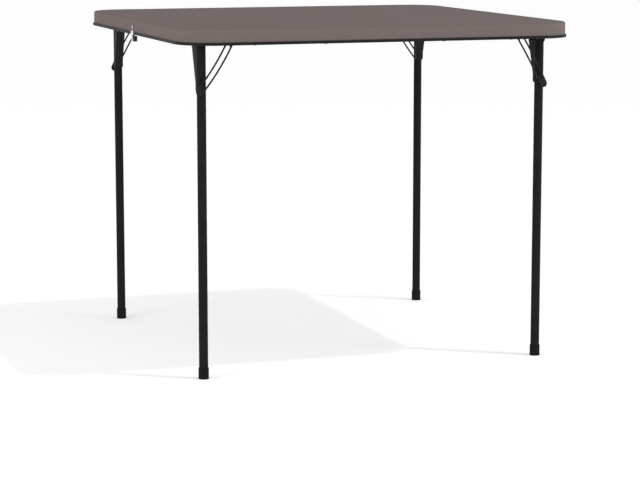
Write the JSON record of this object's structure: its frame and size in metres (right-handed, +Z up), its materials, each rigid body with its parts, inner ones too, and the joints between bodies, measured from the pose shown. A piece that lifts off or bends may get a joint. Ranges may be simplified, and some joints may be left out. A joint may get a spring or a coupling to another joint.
{
  "type": "folding card table",
  "caption": "Square folding card table: moulded top with a skirt and steel edge rail, round legs that fold inward on hinged gussets, each held by a slotted brace.",
  "frame": {"origin": "on the floor under the centre of the square top, legs standing", "axes": "+X right along the front edge, +Y towards the back, +Z up"},
  "size_m": [0.864, 0.864, 0.7266],
  "materials": {
    "moulded_top": "fine matte moulded resin, taupe",
    "black_steel": "black powder coat, low sheen",
    "foot_rubber": "satin black",
    "black_plastic": "moulded black plastic",
    "bright_latch": "bright plated steel",
    "zinc_screws": "zinc plated"
  },
  "bodies": {
    "root": {"table_top": "moulded_top", "edge_rail": "black_steel", "front_side_rail": "black_steel", "back_side_rail": "black_steel", "front_left_hinge_bracket": "black_steel", "front_left_hinge_pin": "black_steel", "front_left_brace_pivot": "black_steel", "front_right_hinge_bracket": "black_steel", "front_right_hinge_pin": "black_steel", "front_right_brace_pivot": "black_steel", "back_right_hinge_bracket": "black_steel", "back_right_hinge_pin": "black_steel", "back_right_brace_pivot": "black_steel", "back_left_hinge_bracket": "black_steel", "back_left_hinge_pin": "black_steel", "back_left_brace_pivot": "black_steel", "hinge_bracket_screws": "zinc_screws", "side_rail_screws": "zinc_screws", "edge_rail_screws": "zinc_screws", "latch_plate": "bright_latch", "latch_rivet": "bright_latch", "latch_lever_pin": "black_steel"},
    "front_left_leg": {"front_left_leg_tube": "black_steel", "front_left_leg_gusset": "black_steel", "front_left_foot_cap": "foot_rubber", "front_left_slide_stud": "black_steel"},
    "front_right_leg": {"front_right_leg_tube": "black_steel", "front_right_leg_gusset": "black_steel", "front_right_foot_cap": "foot_rubber", "front_right_slide_stud": "black_steel"},
    "back_right_leg": {"back_right_leg_tube": "black_steel", "back_right_leg_gusset": "black_steel", "back_right_foot_cap": "foot_rubber", "back_right_slide_stud": "black_steel"},
    "back_left_leg": {"back_left_leg_tube": "black_steel", "back_left_leg_gusset": "black_steel", "back_left_foot_cap": "foot_rubber", "back_left_slide_stud": "black_steel"},
    "front_left_brace": {"front_left_brace": "black_steel"},
    "front_right_brace": {"front_right_brace": "black_steel"},
    "back_right_brace": {"back_right_brace": "black_steel"},
    "back_left_brace": {"back_left_brace": "black_steel"},
    "latch_lever": {"latch_lever": "black_plastic"}
  },
  "joints": [
    {"name": "front_left_leg_fold", "type": "hinge", "parent": "root", "child": "front_left_leg", "pos_m": [-0.3753, -0.3555, 0.71102], "axis": [0, -1, 0], "range_deg": [0, 90]},
    {"name": "front_right_leg_fold", "type": "hinge", "parent": "root", "child": "front_right_leg", "pos_m": [0.3753, -0.3555, 0.68902], "axis": [0, 1, 0], "range_deg": [0, 90]},
    {"name": "back_right_leg_fold", "type": "hinge", "parent": "root", "child": "back_right_leg", "pos_m": [0.3753, 0.3555, 0.71102], "axis": [0, 1, 0], "range_deg": [0, 90]},
    {"name": "back_left_leg_fold", "type": "hinge", "parent": "root", "child": "back_left_leg", "pos_m": [-0.3753, 0.3555, 0.68902], "axis": [0, -1, 0], "range_deg": [0, 90]},
    {"name": "front_left_brace_turn", "type": "hinge", "parent": "root", "child": "front_left_brace", "pos_m": [-0.3111, -0.3694, 0.71102], "axis": [0, -1, 0], "range_deg": [0, 117.22]},
    {"name": "front_right_brace_turn", "type": "hinge", "parent": "root", "child": "front_right_brace", "pos_m": [0.3216, -0.3694, 0.69902], "axis": [0, 1, 0], "range_deg": [0, 105.41]},
    {"name": "back_right_brace_turn", "type": "hinge", "parent": "root", "child": "back_right_brace", "pos_m": [0.3111, 0.3694, 0.71102], "axis": [0, 1, 0], "range_deg": [0, 117.22]},
    {"name": "back_left_brace_turn", "type": "hinge", "parent": "root", "child": "back_left_brace", "pos_m": [-0.3216, 0.3694, 0.69902], "axis": [0, -1, 0], "range_deg": [0, 105.41]},
    {"name": "latch_lever_swing", "type": "hinge", "parent": "root", "child": "latch_lever", "pos_m": [-0.427, -0.008, 0.685], "axis": [1, 0, 0], "range_deg": [0, 90]}
  ],
  "couplings": [
    {"joint": "front_left_brace_turn", "follows": "front_left_leg_fold", "ratio": 1.3019},
    {"joint": "front_right_brace_turn", "follows": "front_right_leg_fold", "ratio": 1.1707},
    {"joint": "back_right_brace_turn", "follows": "back_right_leg_fold", "ratio": 1.3019},
    {"joint": "back_left_brace_turn", "follows": "back_left_leg_fold", "ratio": 1.1707}
  ]
}
